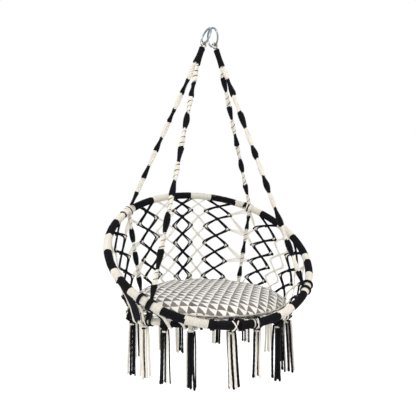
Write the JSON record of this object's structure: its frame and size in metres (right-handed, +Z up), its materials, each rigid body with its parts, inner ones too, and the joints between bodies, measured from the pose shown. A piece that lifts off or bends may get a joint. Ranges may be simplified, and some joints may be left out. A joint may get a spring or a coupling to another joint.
{
  "type": "hammock chair",
  "caption": "Hanging macrame hammock chair: tilted cord-wound hoop, seat ring, knotted ropes and nets, round cushion and tassels, hung from two steel rings.",
  "frame": {"origin": "where a hook bears, at the underside of the crowns of the two hanging rings", "axes": "+Z up, the chair's front faces -Y, its right-hand side as a viewer in front of it sees it is +X"},
  "size_m": [0.8139, 0.6991, 1.316],
  "materials": {
    "ring_steel": "polished",
    "tube_steel": "satin",
    "cord_cream": "matte",
    "cord_black": "matte",
    "cushion_print": "matte"
  },
  "bodies": {
    "hang_rings": {"hang_ring_left": "ring_steel", "hang_ring_right": "ring_steel"},
    "chair": {"rope_eye_left": "cord_cream", "rope_eye_right": "cord_cream", "eye_whipping_left": "cord_black", "eye_whipping_right": "cord_black", "rope_back_left": "cord_cream", "rope_back_right": "cord_cream", "rope_front_left": "cord_cream", "rope_front_right": "cord_cream", "hoop_tube": "tube_steel", "hoop_wrap": "cord_cream", "seat_ring_tube": "tube_steel", "seat_ring_wrap": "cord_cream", "seat_net": "cord_cream", "front_lashing_1": "cord_black", "front_lashing_2": "cord_cream", "front_lashing_3": "cord_black", "net_black_1": "cord_black", "net_black_2": "cord_black", "net_black_3": "cord_black", "net_black_4": "cord_black", "net_black_5": "cord_black", "net_black_6": "cord_black", "net_black_7": "cord_black", "net_black_8": "cord_black", "net_cream_1": "cord_cream", "net_cream_2": "cord_cream", "net_cream_3": "cord_cream", "net_cream_4": "cord_cream", "net_cream_5": "cord_cream", "net_cream_6": "cord_cream"},
    "cushion": {"cushion": "cushion_print"},
    "tassel_1": {"tassel_1": "cord_black"},
    "tassel_2": {"tassel_2": "cord_cream"},
    "tassel_3": {"tassel_3": "cord_black"},
    "tassel_4": {"tassel_4": "cord_cream"},
    "tassel_5": {"tassel_5": "cord_black"},
    "tassel_6": {"tassel_6": "cord_cream"},
    "tassel_7": {"tassel_7": "cord_black"},
    "tassel_8": {"tassel_8": "cord_cream"},
    "tassel_9": {"tassel_9": "cord_black"},
    "tassel_10": {"tassel_10": "cord_cream"},
    "tassel_11": {"tassel_11": "cord_black"},
    "tassel_12": {"tassel_12": "cord_cream"},
    "tassel_13": {"tassel_13": "cord_black"},
    "tassel_14": {"tassel_14": "cord_cream"},
    "tassel_15": {"tassel_15": "cord_black"}
  },
  "joints": [
    {"name": "swing", "type": "hinge", "parent": "hang_rings", "child": "chair", "pos_m": [0, 0, -0.0548], "axis": [1, 0, 0], "range_deg": [-18, 18]},
    {"name": "cushion_lift", "type": "slide", "parent": "chair", "child": "cushion", "axis": [0, 0, 1], "range_m": [0, 0.04]},
    {"name": "tassel_swing_1", "type": "hinge", "parent": "chair", "child": "tassel_1", "pos_m": [-0.30824, -0.03435, -1.083], "axis": [0.1736, -0.9848, 0], "range_deg": [-20, 20]},
    {"name": "tassel_swing_2", "type": "hinge", "parent": "chair", "child": "tassel_2", "pos_m": [-0.27428, -0.13079, -1.083], "axis": [0.4818, -0.8763, 0], "range_deg": [-20, 20]},
    {"name": "tassel_swing_3", "type": "hinge", "parent": "chair", "child": "tassel_3", "pos_m": [-0.21267, -0.20966, -1.083], "axis": [0.7337, -0.6794, 0], "range_deg": [-20, 20]},
    {"name": "tassel_swing_4", "type": "hinge", "parent": "chair", "child": "tassel_4", "pos_m": [-0.13376, -0.26298, -1.083], "axis": [0.9041, -0.4274, 0], "range_deg": [-20, 20]},
    {"name": "tassel_swing_5", "type": "hinge", "parent": "chair", "child": "tassel_5", "pos_m": [-0.00437, -0.29297, -1.083], "axis": [0.9999, -0.014, 0], "range_deg": [-20, 20]},
    {"name": "tassel_swing_6", "type": "hinge", "parent": "chair", "child": "tassel_6", "pos_m": [0.09464, -0.27835, -1.083], "axis": [0.9532, 0.3024, 0], "range_deg": [-20, 20]},
    {"name": "tassel_swing_7", "type": "hinge", "parent": "chair", "child": "tassel_7", "pos_m": [0.19011, -0.22865, -1.083], "axis": [0.7944, 0.6074, 0], "range_deg": [-20, 20]},
    {"name": "tassel_swing_8", "type": "hinge", "parent": "chair", "child": "tassel_8", "pos_m": [0.27079, -0.13697, -1.083], "axis": [0.5015, 0.8652, 0], "range_deg": [-20, 20]},
    {"name": "tassel_swing_9", "type": "hinge", "parent": "chair", "child": "tassel_9", "pos_m": [0.31181, -0.00728, -1.083], "axis": [0.0872, 0.9962, 0], "range_deg": [-20, 20]},
    {"name": "tassel_swing_10", "type": "hinge", "parent": "chair", "child": "tassel_10", "pos_m": [0.30289, 0.0989, -1.083], "axis": [-0.2521, 0.9677, 0], "range_deg": [-20, 20]},
    {"name": "tassel_swing_11", "type": "hinge", "parent": "chair", "child": "tassel_11", "pos_m": [0.23977, 0.22119, -1.083], "axis": [-0.6428, 0.766, 0], "range_deg": [-20, 20]},
    {"name": "tassel_swing_12", "type": "hinge", "parent": "chair", "child": "tassel_12", "pos_m": [0.1223, 0.30812, -1.083], "axis": [-0.9205, 0.3907, 0], "range_deg": [-20, 20]},
    {"name": "tassel_swing_13", "type": "hinge", "parent": "chair", "child": "tassel_13", "pos_m": [-0.0608, 0.32704, -1.083], "axis": [-0.981, -0.1942, 0], "range_deg": [-20, 20]},
    {"name": "tassel_swing_14", "type": "hinge", "parent": "chair", "child": "tassel_14", "pos_m": [-0.14694, 0.29636, -1.083], "axis": [-0.8829, -0.4695, 0], "range_deg": [-20, 20]},
    {"name": "tassel_swing_15", "type": "hinge", "parent": "chair", "child": "tassel_15", "pos_m": [-0.26885, 0.18027, -1.083], "axis": [-0.512, -0.859, 0], "range_deg": [-20, 20]}
  ]
}
